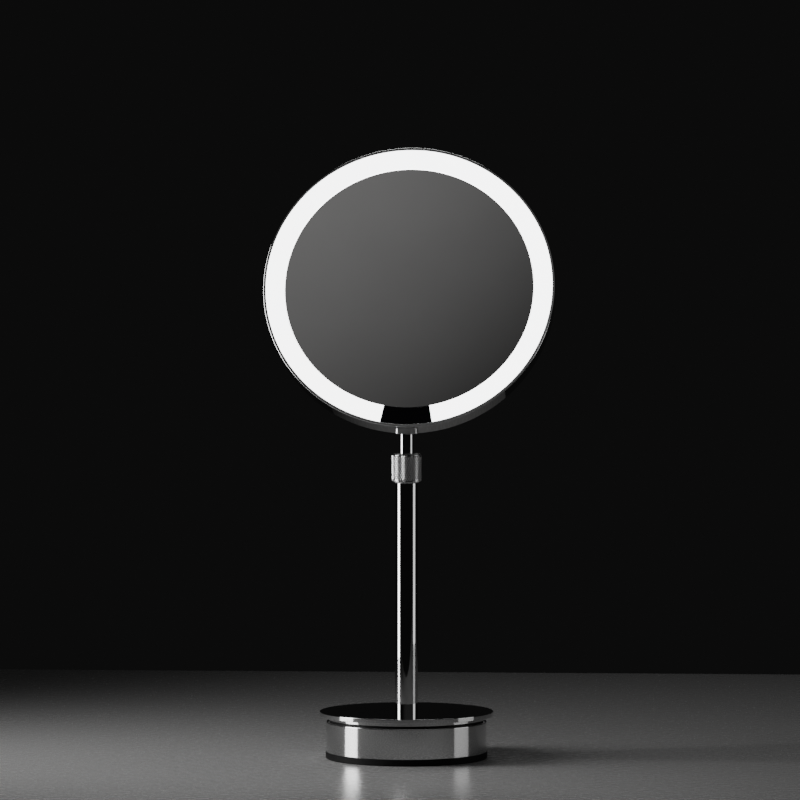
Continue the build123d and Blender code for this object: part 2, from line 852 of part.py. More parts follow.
with BuildPart() as hinge_bracket:
    with BuildSketch(face_plane.offset(web_face)):
        with Locations((0, (web_near + web_far) / 2 - pivot_radius)):
            Rectangle(2 * web_half_width, web_far - web_near)
        with Locations((0, web_near + web_window[1] / 2 - pivot_radius - gap)):
            Rectangle(*web_window, mode=Mode.SUBTRACT)
        with Locations(*bracket_screw_places):
            Circle(small_screw_radius + running, mode=Mode.SUBTRACT)
    extrude(amount=-web_thickness)
    for side in (-1, 1):
        ear_foot = pivot + Vector(side * ear_start, 0, 0)
        with BuildSketch(Plane(origin=ear_foot, x_dir=head_up, z_dir=(1, 0, 0))):
            Circle(ear_radius)
            with BuildLine():
                Polyline(
                    (0, -ear_radius),
                    (web_near + ear_radius, web_front - web_thickness),
                    (web_near + ear_radius, web_front),
                    (web_near, 0),
                    (0, ear_radius),
                    close=True,
                )
            make_face()
            Circle(pin_radius + seated, mode=Mode.SUBTRACT)
        extrude(amount=side * ear_thickness)
save(hinge_bracket.part, "hinge_bracket")

with BuildPart() as hinge_pins:
    for side in (-1, 1):
        with BuildSketch(Plane(origin=pivot + Vector(side * pin_inner_end, 0, 0), z_dir=(side, 0, 0))):
            Circle(pin_radius)
        extrude(amount=ear_start + ear_thickness - pin_inner_end)
        head_foot = pivot + Vector(side * (ear_start + ear_thickness), 0, 0)
        with BuildSketch(Plane(origin=head_foot, z_dir=(side, 0, 0))):
            Circle(pin_head_radius)
        extrude(amount=pin_head_height)
save(hinge_pins.part, "hinge_pins")

with BuildPart() as friction_washers:
    for side in (-1, 1):
        washer_foot = pivot + Vector(side * (tongue_width / 2 + washer_gap), 0, 0)
        with BuildSketch(Plane(origin=washer_foot, z_dir=(side, 0, 0))):
            Circle(friction_washer_radius)
            Circle(pin_radius + seated, mode=Mode.SUBTRACT)
        extrude(amount=friction_washer_thickness)
save(friction_washers.part, "friction_washers")

with BuildPart() as bracket_screws:
    with Locations(face_plane.offset(web_face - web_thickness)):
        with Locations(*bracket_screw_places):
            Cylinder(
                small_screw_head_radius,
                small_screw_head_height,
                align=(Align.CENTER, Align.CENTER, Align.MAX),
            )
            Cylinder(
                small_screw_radius,
                web_thickness + flange_back - web_face,
                align=(Align.CENTER, Align.CENTER, Align.MIN),
            )
save(bracket_screws.part, "bracket_screws")

with BuildPart() as driver_board:
    with BuildSketch(face_plane.offset(-driver_depth)):
        RectangleRounded(driver_size[0], driver_size[1], driver_corner)
    extrude(amount=-driver_size[2])
save(driver_board.part, "driver_board")

with BuildPart() as driver_parts:
    with BuildSketch(face_plane.offset(-driver_depth - driver_size[2])):
        with Locations(inductor_place):
            RectangleRounded(inductor_size[0], inductor_size[1], driver_corner)
        with Locations(controller_place):
            Rectangle(*controller_size)
        with Locations(plug_place):
            Rectangle(*plug_size)
        with Locations(*capacitor_places):
            Rectangle(*capacitor_size)
    extrude(amount=-driver_part_height)
save(driver_parts.part, "driver_parts")

save(
    lead(
        Plane(origin=head_centre, x_dir=head_up * -1, z_dir=(-1, 0, 0)),
        [
            (pivot_radius - knuckle_thickness / 2 - 2 * lead_radius, -pivot_depth - gap),
            (pivot_radius - web_near, web_face - 1.5 * web_thickness),
            (pivot_radius - web_far, web_face - 3 * web_thickness),
            (driver_size[1] / 2 + 2 * lead_radius, -driver_depth - driver_size[2] / 2),
        ],
        head_lead_bend,
        lead_radius,
    ),
    "head_lead",
)
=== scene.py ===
"""Looks of the lighted vanity mirror: a smooth mesh for every outer piece of the frame, and the studio."""

import json
import math

import bmesh
import bpy
from mathutils import Matrix, Vector


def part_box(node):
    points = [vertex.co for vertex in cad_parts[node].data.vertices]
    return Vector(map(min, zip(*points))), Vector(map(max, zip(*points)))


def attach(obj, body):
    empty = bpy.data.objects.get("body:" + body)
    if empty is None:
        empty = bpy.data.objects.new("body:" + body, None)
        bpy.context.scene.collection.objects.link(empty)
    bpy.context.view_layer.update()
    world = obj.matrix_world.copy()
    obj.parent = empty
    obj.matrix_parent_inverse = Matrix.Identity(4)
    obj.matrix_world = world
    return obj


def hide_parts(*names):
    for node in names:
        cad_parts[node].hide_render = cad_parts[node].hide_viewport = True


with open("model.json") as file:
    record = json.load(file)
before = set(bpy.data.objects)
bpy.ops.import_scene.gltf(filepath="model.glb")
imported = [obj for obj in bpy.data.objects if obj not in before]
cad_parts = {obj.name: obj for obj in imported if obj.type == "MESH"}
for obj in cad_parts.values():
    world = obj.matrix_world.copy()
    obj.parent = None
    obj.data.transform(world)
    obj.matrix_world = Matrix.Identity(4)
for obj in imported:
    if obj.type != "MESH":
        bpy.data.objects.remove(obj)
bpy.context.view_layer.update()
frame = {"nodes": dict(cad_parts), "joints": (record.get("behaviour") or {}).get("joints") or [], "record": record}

MM = 0.001
TURN = 2 * math.pi
WELD = 1e-7  # vertices nearer to each other than this, in metres, are joined
ON_AXIS = 1e-9  # an outline's point nearer to the axis than this, in metres, is on it

# ------------------------------------------------------------------ driving values
CREASE = 35  # degrees; edges sharper than this stay sharp
HEAD_LEAN = math.radians(17.4)  # the head's lean from upright at rest
MIRROR_CURVE = 750 * MM  # radius of curvature of the glass
WINDOW_HALF_ANGLE = math.radians(10.4)

CAMERA_AZIMUTH = math.radians(4.0)
CAMERA_DISTANCE = 3.0
CAMERA_HEIGHT = 0.343
CAMERA_LENS = 180.5
AIM_HEIGHT = 0.268
AIM_ASIDE = 0.0049


# ------------------------------------------------------------------ camera
def make_camera():
    """Long lens at the height of the head, looking very slightly down."""
    side = Vector((math.cos(CAMERA_AZIMUTH), math.sin(CAMERA_AZIMUTH), 0))
    back = Vector((math.sin(CAMERA_AZIMUTH), -math.cos(CAMERA_AZIMUTH), 0))
    aim = Vector((0, 0, AIM_HEIGHT)) - side * AIM_ASIDE
    at = aim + back * CAMERA_DISTANCE
    at.z = CAMERA_HEIGHT
    data = bpy.data.cameras.new("camera")
    data.lens = CAMERA_LENS
    data.clip_end = 50
    camera = bpy.data.objects.new("camera", data)
    bpy.context.collection.objects.link(camera)
    camera.location = at
    camera.rotation_euler = (aim - at).to_track_quat("-Z", "Y").to_euler()
    bpy.context.scene.camera = camera


make_camera()

# ------------------------------------------------------------------ places taken from the frame
tilt_joint = next(joint for joint in frame["joints"] if joint["name"] == "head_tilt")
pivot = Vector(tilt_joint["pos_m"])
# Head axes: x to the side, y up the head, z to the front, from the tilt axis.
head_axes = Matrix.Translation(pivot) @ Matrix.Rotation(math.pi / 2 - HEAD_LEAN, 4, "X")
to_head = head_axes.inverted()


def head_box(node):
    """Lowest and highest corners of a CAD node in the head's own axes."""
    points = [to_head @ vertex.co for vertex in frame["nodes"][node].data.vertices]
    low = Vector([min(point[axis] for point in points) for axis in range(3)])
    high = Vector([max(point[axis] for point in points) for axis in range(3)])
    return low, high


band_low, band_high = head_box("head_band")
head_radius = (band_high.x - band_low.x) / 2
head_front = band_high.z
head_centre_y = (band_high.y + band_low.y) / 2
disc_axes = head_axes @ Matrix.Translation((0, head_centre_y, head_front))


# ------------------------------------------------------------------ mesh helpers
def rounded(points, radii, steps=6):
    """A closed outline with its corners rounded. A point a little way past each arc keeps the flats flat."""
    past_arc = 0.25
    result = []
    count = len(points)
    for index, (corner, radius) in enumerate(zip(points, radii)):
        corner = Vector(corner)
        if radius == 0:
            result.append(corner)
            continue
        before = Vector(points[index - 1]) - corner
        after = Vector(points[(index + 1) % count]) - corner
        half = before.angle(after) / 2
        reach = radius / math.tan(half)
        centre = corner + (before.normalized() + after.normalized()).normalized() * (radius / math.sin(half))
        start = corner + before.normalized() * reach
        end = corner + after.normalized() * reach
        result.append(corner + before.normalized() * (reach + past_arc * radius))
        sweep = (start - centre).angle_signed(end - centre)
        for step in range(steps + 1):
            arm = (start - centre).copy()
            arm.rotate(Matrix.Rotation(-sweep * step / steps, 2))
            result.append(centre + arm)
        result.append(corner + after.normalized() * (reach + past_arc * radius))
    return result


def mesh_object(name, work, crease=CREASE):
    """A finished bmesh as a smooth-shaded object in the scene, with edges over crease degrees sharp."""
    bmesh.ops.remove_doubles(work, verts=work.verts, dist=WELD)
    bmesh.ops.recalc_face_normals(work, faces=work.faces)
    mesh = bpy.data.meshes.new(name)
    work.to_mesh(mesh)
    work.free()
    mesh.shade_smooth()
    mesh.set_sharp_from_angle(angle=math.radians(crease))
    piece = bpy.data.objects.new(name, mesh)
    bpy.context.collection.objects.link(piece)
    return piece


def lathe(name, outline, axes=Matrix(), segments=256, start=0.0, sweep=TURN, crease=CREASE):
    """A closed (radius, height) outline turned about the local z axis; a part turn gets end caps."""
    work = bmesh.new()
    whole = abs(sweep - TURN) < 1e-6
    rows = segments if whole else segments + 1
    grid = []
    for row in range(rows):
        angle = start + sweep * row / segments
        cosine, sine = math.cos(angle), math.sin(angle)
        grid.append([work.verts.new(axes @ Vector((r * cosine, r * sine, h))) for r, h in outline])
    count = len(outline)
    for row in range(segments):
        here, there = grid[row], grid[(row + 1) % rows]
        for index in range(count):
            after = (index + 1) % count
            corners = [here[index], here[after], there[after], there[index]]
            if outline[index][0] < ON_AXIS and outline[after][0] < ON_AXIS:
                continue
            if outline[index][0] < ON_AXIS:
                corners = [here[index], here[after], there[after]]
            elif outline[after][0] < ON_AXIS:
                corners = [here[index], here[after], there[index]]
            work.faces.new(corners)
    if not whole:
        work.faces.new(grid[0])
        work.faces.new(grid[-1])
    return mesh_object(name, work, crease)


def cut(piece, tool):
    """Cuts the tool's volume out of a piece for good, and removes the tool."""
    modifier = piece.modifiers.new("cut", "BOOLEAN")
    modifier.object = tool
    modifier.solver = "EXACT"
    graph = bpy.context.evaluated_depsgraph_get()
    mesh = bpy.data.meshes.new_from_object(piece.evaluated_get(graph))
    piece.modifiers.clear()
    piece.data = mesh
    bpy.data.objects.remove(tool)
    piece.data.set_sharp_from_angle(angle=math.radians(CREASE))


def rounded_block(name, width, depth, height, corner, axes=Matrix(), edge=0.0, steps=8):
    """A block from z = 0 up, with rounded upright corners and, if asked, softened top and bottom edges."""
    work = bmesh.new()
    half_x, half_y = width / 2, depth / 2

    def ring(inset, z):
        radius = corner - inset
        loop = []
        for quarter, (sx, sy) in enumerate(((1, 1), (-1, 1), (-1, -1), (1, -1))):
            cx, cy = sx * (half_x - corner), sy * (half_y - corner)
            for step in range(steps + 1):
                angle = (quarter + step / steps) * math.pi / 2
                corner_point = Vector((cx + radius * math.cos(angle), cy + radius * math.sin(angle), z))
                loop.append(work.verts.new(axes @ corner_point))
        return loop

    levels = []
    turns = 4 if edge else 0
    for step in range(turns + 1):
        angle = math.pi / 2 * step / turns if turns else 0
        levels.append((edge * (1 - math.sin(angle)), edge * (1 - math.cos(angle))))
    rings = [ring(inset, z) for inset, z in levels]
    rings += [ring(inset, height - z) for inset, z in reversed(levels)]
    for lower, upper in zip(rings, rings[1:]):
        for index in range(len(lower)):
            after = (index + 1) % len(lower)
            work.faces.new([lower[index], lower[after], upper[after], upper[index]])
    work.faces.new(rings[0])
    work.faces.new(rings[-1])
    return mesh_object(name, work)


# ------------------------------------------------------------------ materials
class Nodes:
    """A short way to wire one procedural material."""

    def __init__(self, name):
        self.material = bpy.data.materials.new(name)
        self.material.use_nodes = True
        self.tree = self.material.node_tree
        self.shader = self.tree.nodes["Principled BSDF"]
        self.where = self.add("ShaderNodeTexCoord").outputs["Object"]

    def add(self, kind, **settings):
        node = self.tree.nodes.new(kind)
        for key, value in settings.items():
            if key in node.inputs:
                node.inputs[key].default_value = value
            else:
                setattr(node, key, value)
        return node

    def link(self, source, target):
        self.tree.links.new(source, target)

    def mapped(self, scale):
        node = self.add("ShaderNodeMapping")
        node.inputs["Scale"].default_value = scale
        self.link(self.where, node.inputs["Vector"])
        return node.outputs["Vector"]

    def noise(self, scale, detail=4, roughness=0.6, where=None):
        node = self.add("ShaderNodeTexNoise", Scale=scale, Detail=detail, Roughness=roughness)
        self.link(where or self.where, node.inputs["Vector"])
        return node.outputs["Fac"]

    def spread(self, source, low, high, start=0.3, end=0.7):
        """The source's range start to end, spread over low to high."""
        node = self.add("ShaderNodeMapRange")
        for socket, value in (("From Min", start), ("From Max", end), ("To Min", low), ("To Max", high)):
            node.inputs[socket].default_value = value
        self.link(source, node.inputs["Value"])
        return node.outputs["Result"]

    def tint(self, source, dark, light):
        """A colour that runs from dark to light with the source."""
        node = self.add("ShaderNodeMix", data_type="RGBA")
        self.link(source, node.inputs[0])
        node.inputs[6].default_value = (*dark, 1)
        node.inputs[7].default_value = (*light, 1)
        return node.outputs[2]

    def bump(self, source, strength, distance):
        node = self.add("ShaderNodeBump", Strength=strength, Distance=distance)
        self.link(source, node.inputs["Height"])
        self.link(node.outputs["Normal"], self.shader.inputs["Normal"])

    def uniform(self, **values):
        """Plain values set straight on the shader's sockets."""
        for key, value in values.items():
            self.shader.inputs[key.replace("_", " ")].default_value = value

    def coloured(self, source, dark, light, socket="Base Color"):
        """The shader's colour drifts from dark to light with the source."""
        self.link(self.tint(self.spread(source, 0, 1), dark, light), self.shader.inputs[socket])

    def glossed(self, source, low, high):
        """The shader's roughness drifts from low to high with the source."""
        self.link(self.spread(source, low, high), self.shader.inputs["Roughness"])


def polished(name, colour, low, high):
    """Polished or satin metal: faint smears and fine scratches in the gloss, from roughness low to high."""
    nodes = Nodes(name)
    nodes.uniform(Metallic=1.0)
    smears = nodes.noise(38, detail=6)
    scratches = nodes.noise(420, detail=3, where=nodes.mapped((1, 1, 0.06)))
    nodes.coloured(smears, [c * 0.97 for c in colour], colour)
    mixed = nodes.add("ShaderNodeMath", operation="MULTIPLY")
    nodes.link(nodes.spread(smears, 0.6, 1.0), mixed.inputs[0])
    nodes.link(nodes.spread(scratches, low, high, 0.45, 0.75), mixed.inputs[1])
    nodes.link(mixed.outputs[0], nodes.shader.inputs["Roughness"])
    nodes.bump(scratches, 0.02, 0.0001)
    return nodes.material


def moulded(name, colour, low, high, grain, depth, specular=0.5):
    """Plastic, rubber, foam or paint: fine grain of a bump depth in metres, and a little colour drift."""
    nodes = Nodes(name)
    nodes.uniform(Specular_IOR_Level=specular)
    drift = nodes.noise(22, detail=3)
    fine = nodes.noise(grain, detail=5)
    nodes.coloured(drift, [c * 0.82 for c in colour], colour)
    nodes.glossed(fine, low, high)
    nodes.bump(fine, 0.25, depth)
    return nodes.material


def lit_diffuser():
    """Opal acrylic, lit from behind by a row of LEDs: white, with only the faintest unevenness."""
    nodes = Nodes("lit_opal")
    nodes.uniform(IOR=1.49)
    glow = nodes.noise(30, detail=2)
    nodes.coloured(glow, (0.90, 0.90, 0.90), (0.95, 0.95, 0.95))
    nodes.coloured(glow, (0.97, 0.98, 1.0), (1.0, 1.0, 1.0), socket="Emission Color")
    nodes.uniform(Emission_Strength=6.0)
    nodes.glossed(nodes.noise(300), 0.30, 0.42)
    return nodes.material


def silvered():
    """Silvered glass, with the very slight haze of wiped glass."""
    nodes = Nodes("silvered_glass")
    nodes.uniform(Metallic=1.0)
    haze = nodes.noise(14, detail=5)
    nodes.coloured(haze, (0.86, 0.85, 0.845), (0.90, 0.89, 0.885))
    nodes.glossed(haze, 0.015, 0.045)
    return nodes.material


# polished: name, colour, lowest and highest roughness. moulded: also the grain's scale and depth.
MATERIALS = {
    "chrome": polished("polished_chrome", (0.60, 0.60, 0.60), 0.02, 0.05),
    "satin_chrome": polished("satin_metal", (0.74, 0.74, 0.74), 0.46, 0.58),
    "knurled_chrome": polished("knurl_metal", (0.52, 0.52, 0.52), 0.22, 0.32),
    "silver_cover": polished("satin_silver", (0.62, 0.62, 0.63), 0.32, 0.42),
    "zinc_steel": polished("zinc_plate", (0.55, 0.56, 0.57), 0.25, 0.40),
    "brass": polished("turned_brass", (0.72, 0.56, 0.28), 0.20, 0.34),
    "ballast_iron": moulded("painted_iron", (0.10, 0.10, 0.10), 0.55, 0.8, 400, 0.0002),
    "foot_rubber": moulded("matt_rubber", (0.010, 0.010, 0.010), 0.5, 0.7, 900, 0.0001, specular=0.12),
    "foam": moulded("soft_foam", (0.10, 0.10, 0.10), 0.8, 0.95, 1200, 0.0003),
    "lead_sleeve": moulded("lead_sleeve", (0.03, 0.03, 0.03), 0.4, 0.55, 700, 0.00005),
    # Near-black with low specular: black plastic, and on the spacer ring painted shade standing in for the shadow
    # in the gap under the top disc.
    "black_plastic": moulded("satin_black_and_gap_shade", (0.008, 0.008, 0.008), 0.4, 0.55, 700, 0.00005, specular=0.15),
    "white_plastic": moulded("satin_white", (0.70, 0.70, 0.69), 0.4, 0.55, 700, 0.00005),
    "acetal": moulded("acetal", (0.62, 0.61, 0.58), 0.35, 0.5, 500, 0.00003),
    "circuit_board": moulded("solder_mask", (0.02, 0.09, 0.04), 0.3, 0.5, 500, 0.00003),
    "cell_wrap": moulded("cell_wrap", (0.03, 0.08, 0.22), 0.25, 0.4, 150, 0.0001),
    "black_window": moulded("window_gloss", (0.006, 0.006, 0.007), 0.04, 0.09, 260, 0.000005),
    "led_lens": moulded("led_lens", (0.80, 0.78, 0.60), 0.25, 0.4, 900, 0.00002),
    "opal_diffuser": lit_diffuser(),
    "mirror": silvered(),
}

slots = {part["node"]: part["material_slot"] for part in frame["record"]["subparts"]}
for node, slot in slots.items():
    data = frame["nodes"][node].data
    data.materials.clear()
    data.materials.append(MATERIALS[slot])


def place(piece, body, node):
    """Gives a piece the look, slot and place of the CAD node that it stands for."""
    piece.data.materials.clear()
    piece.data.materials.append(MATERIALS[slots[node]])
    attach(piece, body)
    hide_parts(node)


# ------------------------------------------------------------------ base
def radius_of(node):
    low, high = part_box(node)
    return (high[0] - low[0]) / 2


def levels_of(node):
    low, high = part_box(node)
    return low[2], high[2]


foot_radius = radius_of("rubber_foot")
foot_bottom, foot_top = levels_of("rubber_foot")
shell_radius = radius_of("base_shell")
shell_top = levels_of("base_shell")[1]
disc_radius = radius_of("base_disc")
disc_bottom, disc_top = levels_of("base_disc")
spacer_radius = radius_of("spacer_ring")
tube_radius = radius_of("stem_tube")
tube_top = levels_of("stem_tube")[1]

foot_bevel = 0.8 * MM
foot_top_edge = 0.3 * MM
foot_outline = rounded(
    [(0, foot_bottom), (foot_radius, foot_bottom), (foot_radius, foot_top), (0, foot_top)],
    [0, foot_bevel, foot_top_edge, 0],
)
place(lathe("foot", foot_outline), "base", "rubber_foot")

shell_wall = 2 * MM
shell_shoulder = 0.8 * MM
shell_hem = 0.5 * MM
shell_outline = rounded(
    [
        (shell_radius - shell_wall, foot_top),
        (shell_radius, foot_top),
        (shell_radius, shell_top),
        (tube_radius, shell_top),
        (tube_radius, shell_top - shell_wall),
        (shell_radius - shell_wall, shell_top - shell_wall),
    ],
    [0, shell_hem, shell_shoulder, 0, 0, 0],
    steps=10,
)
shell = lathe("shell", shell_outline, segments=360)
inlet_low, inlet_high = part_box("charging_socket")
inlet_gap = 0.03 * MM
inlet_axes = (
    Matrix.Translation((0, shell_radius - 2 * shell_wall, (inlet_low[2] + inlet_high[2]) / 2))
    @ Matrix.Rotation(-math.pi / 2, 4, "X")
)
inlet_width = inlet_high[0] - inlet_low[0] + 2 * inlet_gap
inlet_height = inlet_high[2] - inlet_low[2] + 2 * inlet_gap
inlet_tool = rounded_block(
    "inlet_tool", inlet_width, inlet_height, 4 * shell_wall, inlet_height / 2, axes=inlet_axes,
)
cut(shell, inlet_tool)
place(shell, "base", "base_shell")

# The spacer ring is a real part. Its near-black, low-gloss plastic is also painted shade standing in for the
# shadow in the gap between the top disc and the shell.
spacer_outline = [
    (tube_radius, shell_top),
    (spacer_radius, shell_top),
    (spacer_radius, disc_bottom),
    (tube_radius, disc_bottom),
]
place(lathe("spacer", spacer_outline), "base", "spacer_ring")

disc_rim = 3.3 * MM
rim_bottom = disc_top - disc_rim
skirt_radius = 59.4 * MM
skirt_edge, rim_edge, disc_edge = 0.2 * MM, 0.25 * MM, 0.4 * MM
disc_outline = rounded(
    [
        (0, disc_bottom),
        (skirt_radius, disc_bottom),
        (skirt_radius, rim_bottom),
        (disc_radius, rim_bottom),
        (disc_radius, disc_top),
        (0, disc_top),
    ],
    [0, skirt_edge, 0, rim_edge, disc_edge, 0],
)
place(lathe("top_disc", disc_outline, segments=360), "base", "base_disc")

tube_wall = 1.4 * MM
tube_edge = 0.25 * MM
tube_outline = rounded(
    [
        (tube_radius - tube_wall, disc_top),
        (tube_radius, disc_top),
        (tube_radius, tube_top),
        (tube_radius - tube_wall, tube_top),
    ],
    [0, 0, tube_edge, 0],
)
place(lathe("outer_tube", tube_outline, segments=128), "base", "stem_tube")


# ------------------------------------------------------------------ head
band_wall = 2.1 * MM
rear_edge = band_low.z - head_front


def band():
    """The chrome band round the head, with the hinge's slot at the chin."""
    bore = head_radius - band_wall
    outer_edge, rear_bore_edge, front_bore_edge = 0.8 * MM, 0.2 * MM, 0.25 * MM
    outline = rounded(
        [(bore, rear_edge), (head_radius, rear_edge), (head_radius, 0), (bore, 0)],
        [rear_bore_edge, outer_edge, outer_edge, front_bore_edge],
    )
    piece = lathe("band", outline, axes=disc_axes, segments=480)
    slot_front, slot_rear, half_width = 5.9 * MM, 8.7 * MM, 8.5 * MM
    slot_depth, slot_corner = 12 * MM, 2.8 * MM
    tool_axes = (
        head_axes
        @ Matrix.Rotation(math.pi / 2, 4, "X")
        @ Matrix.Translation((0, (slot_front - slot_rear) / 2, 0))
    )
    tool = rounded_block(
        "slot_tool", 2 * half_width, slot_front + slot_rear, slot_depth, slot_corner, axes=tool_axes,
    )
    cut(piece, tool)
    return piece


place(band(), "head", "head_band")

ring_low, ring_high = head_box("diffuser_ring")
ring_outer = (ring_high.x - ring_low.x) / 2
ring_inner = 94.5 * MM
ring_drop = 3.0 * MM
ring_thick = 1.6 * MM
ring_outer_edge, ring_inner_edge = 0.15 * MM, 0.2 * MM
ring_front = ring_high.z - head_front
ring_outline = rounded(
    [
        (ring_inner, ring_front - ring_drop - ring_thick),
        (ring_outer, ring_front - ring_thick),
        (ring_outer, ring_front),
        (ring_inner, ring_front - ring_drop),
    ],
    [0, 0, ring_outer_edge, ring_inner_edge],
    steps=3,
)
chin = -math.pi / 2
ring_gap = math.radians(0.05)
place(
    lathe(
        "diffuser", ring_outline, axes=disc_axes, segments=480,
        start=chin + WINDOW_HALF_ANGLE + ring_gap, sweep=TURN - 2 * (WINDOW_HALF_ANGLE + ring_gap),
    ),
    "head", "diffuser_ring",
)
place(
    lathe(
        "window", ring_outline, axes=disc_axes, segments=48,
        start=chin - WINDOW_HALF_ANGLE + ring_gap, sweep=2 * (WINDOW_HALF_ANGLE - ring_gap),
    ),
    "head", "sensor_window",
)


def glass():
    """Dished glass with a small bevel round its front edge."""
    low, high = head_box("mirror_glass")
    radius = (high.x - low.x) / 2
    edge_front = high.z - head_front
    bevel, thick = 0.3 * MM, 2 * MM
    front_rings, back_rings = 40, 8

    def rise(r):
        return MIRROR_CURVE - math.sqrt(MIRROR_CURVE**2 - r**2)

    centre = edge_front - rise(radius)
    front_radii = [(radius - bevel) * i / front_rings for i in range(front_rings + 1)]
    back_radii = [radius * i / back_rings for i in range(back_rings + 1)]
    front = [(r, centre + rise(r)) for r in front_radii]
    back = [(r, centre - thick + rise(r)) for r in back_radii]
    outline = front + [(radius, edge_front - bevel)] + back[::-1]
    return lathe("glass", outline, axes=disc_axes, segments=256, crease=20)


place(glass(), "head", "mirror_glass")


cover_inset = 2.13 * MM  # the band's wall and a hair's clearance


def cover():
    """The domed rear cover, with a hole for each of its screws."""
    dome = rear_edge - (head_box("rear_cover")[0].z - head_front)
    radius = head_radius - cover_inset
    dome_radius, dome_rings = 100 * MM, 24
    thick = 1.8 * MM
    radii = [dome_radius * i / dome_rings for i in range(dome_rings + 1)]
    outer = [(r, rear_edge - dome * (1 - (r / dome_radius) ** 2)) for r in radii]
    inner = [(r, z + thick) for r, z in outer]
    outline = outer + [(radius, rear_edge), (radius, rear_edge + thick)] + inner[::-1]
    piece = lathe("cover", outline, axes=disc_axes, segments=240, crease=30)
    hole, screw_circle, screw_count = 2.6 * MM, 96 * MM, 6
    for screw in range(screw_count):
        axes = (
            disc_axes
            @ Matrix.Rotation(screw * TURN / screw_count, 4, "Z")
            @ Matrix.Translation((screw_circle, 0, rear_edge - 2 * thick))
        )
        cut(piece, rounded_block("hole_tool", 2 * hole, 2 * hole, 4 * thick, hole, axes=axes))
    return piece


place(cover(), "head", "rear_cover")

# ------------------------------------------------------------------ hinge, rod and collar
rod_radius = radius_of("inner_rod")
rod_bottom, rod_top = levels_of("inner_rod")
rod_bore = 3.8 * MM
rod_edge = 0.4 * MM
rod_outline = rounded(
    [(rod_bore, rod_bottom), (rod_radius, rod_bottom), (rod_radius, rod_top), (rod_bore, rod_top)],
    [0, 0, rod_edge, 0],
)
place(lathe("rod", rod_outline, segments=96), "rod", "inner_rod")

collar_radius = radius_of("clamp_collar")
collar_bottom, collar_top = levels_of("clamp_collar")


def knurled_collar():
    """Clamp collar: a grip of raised diamonds with flat tops, and a plain cone on top."""
    around, rows = 44, 13
    bevel, depth, land = 0.3 * MM, 0.22 * MM, 0.45
    valley = collar_radius - depth
    bore, mouth, cone, cone_tip = 8.45 * MM, 5.7 * MM, 10.9 * MM, 9.9 * MM
    cone_height = 0.8 * MM
    grip_top = collar_top - cone_height
    low, high = collar_bottom + bevel, grip_top - bevel
    work = bmesh.new()

    def loop(radius, z, turn=0.0):
        angles = [TURN * (column + turn) / around for column in range(around)]
        return [work.verts.new((radius * math.cos(angle), radius * math.sin(angle), z)) for angle in angles]

    def join(first, second):
        for column in range(around):
            after = (column + 1) % around
            work.faces.new([first[column], first[after], second[after], second[column]])

    step = (high - low) / rows
    valleys = [loop(valley, low + row * step, 0.5 * (row % 2)) for row in range(rows + 1)]
    for row in range(rows - 1):
        shift = row % 2
        for column in range(around):
            corners = [
                valleys[row][column],
                valleys[row + 1][(column + shift) % around],
                valleys[row + 2][column],
                valleys[row + 1][(column - 1 + shift) % around],
            ]
            angle = TURN * (column + 0.5 * shift) / around
            middle = Vector((valley * math.cos(angle), valley * math.sin(angle), low + (row + 1) * step))
            tops = []
            for corner in corners:
                top = middle.lerp(corner.co, land)
                scale = collar_radius / math.hypot(top.x, top.y)
                tops.append(work.verts.new((top.x * scale, top.y * scale, top.z)))
            work.faces.new(tops)
            for index in range(4):
                after = (index + 1) % 4
                work.faces.new([corners[index], corners[after], tops[after], tops[index]])
    for edge, beside in ((0, 1), (rows, rows - 1)):
        for column in range(around):
            after = (column + 1) % around
            work.faces.new([valleys[edge][column], valleys[edge][after], valleys[beside][column]])
    lower_end = [
        valleys[0],
        loop(valley - bevel, collar_bottom),
        loop(bore, collar_bottom),
        loop(bore, collar_bottom + step),
    ]
    upper_end = [
        valleys[rows],
        loop(valley - bevel, grip_top),
        loop(cone, grip_top),
        loop(cone_tip, collar_top),
        loop(mouth, collar_top),
        loop(mouth, grip_top),
    ]
    for run in (lower_end, upper_end, [lower_end[-1], upper_end[-1]]):
        for first, second in zip(run, run[1:]):
            join(first, second)
    return mesh_object("collar", work, crease=12)


place(knurled_collar(), "collar", "clamp_collar")

ferrule_radius = radius_of("collet_body")
ferrule_bore = 6 * MM
ferrule_flare = 0.8 * MM
ferrule_edge = 0.1 * MM
collar_gap = 0.1 * MM
ferrule_outline = rounded(
    [
        (ferrule_bore, tube_top),
        (tube_radius, tube_top),
        (ferrule_radius, tube_top + ferrule_flare),
        (ferrule_radius, collar_bottom - collar_gap),
        (ferrule_bore, collar_bottom - collar_gap),
    ],
    [0, 0, ferrule_edge, 0, 0],
)
place(lathe("ferrule", ferrule_outline, segments=128), "base", "collet_body")


def prism(name, outline, width):
    """An outline in y and z, made solid to both sides of x = 0."""
    work = bmesh.new()
    ends = [[work.verts.new((side * width / 2, y, z)) for y, z in outline] for side in (-1, 1)]
    for index in range(len(outline)):
        after = (index + 1) % len(outline)
        work.faces.new([ends[0][index], ends[0][after], ends[1][after], ends[1][index]])
    for end in ends:
        work.faces.new(end)
    return mesh_object(name, work)


def knuckle():
    """The block that carries the head, and its narrower round-topped tongue on the tilt axis."""
    low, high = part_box("knuckle")
    thick = high[1] - low[1]
    corner, edge, tongue_width, arc_steps = 2.8 * MM, 0.3 * MM, 14 * MM, 24
    shoulder = pivot.z - 4.1 * MM  # where the wide block ends and the tongue starts
    block = rounded_block(
        "knuckle_block", high[0] - low[0], thick, shoulder - rod_top, corner,
        axes=Matrix.Translation((0, 0, rod_top)), edge=edge,
    )
    half = thick / 2
    angles = [math.pi * i / arc_steps for i in range(arc_steps + 1)]
    arc = [(half * math.cos(angle), pivot.z + half * math.sin(angle)) for angle in angles]
    tongue = prism("knuckle_tongue", [(half, shoulder)] + arc + [(-half, shoulder)], tongue_width)
    return block, tongue


for piece in knuckle():
    place(piece, "rod", "knuckle")


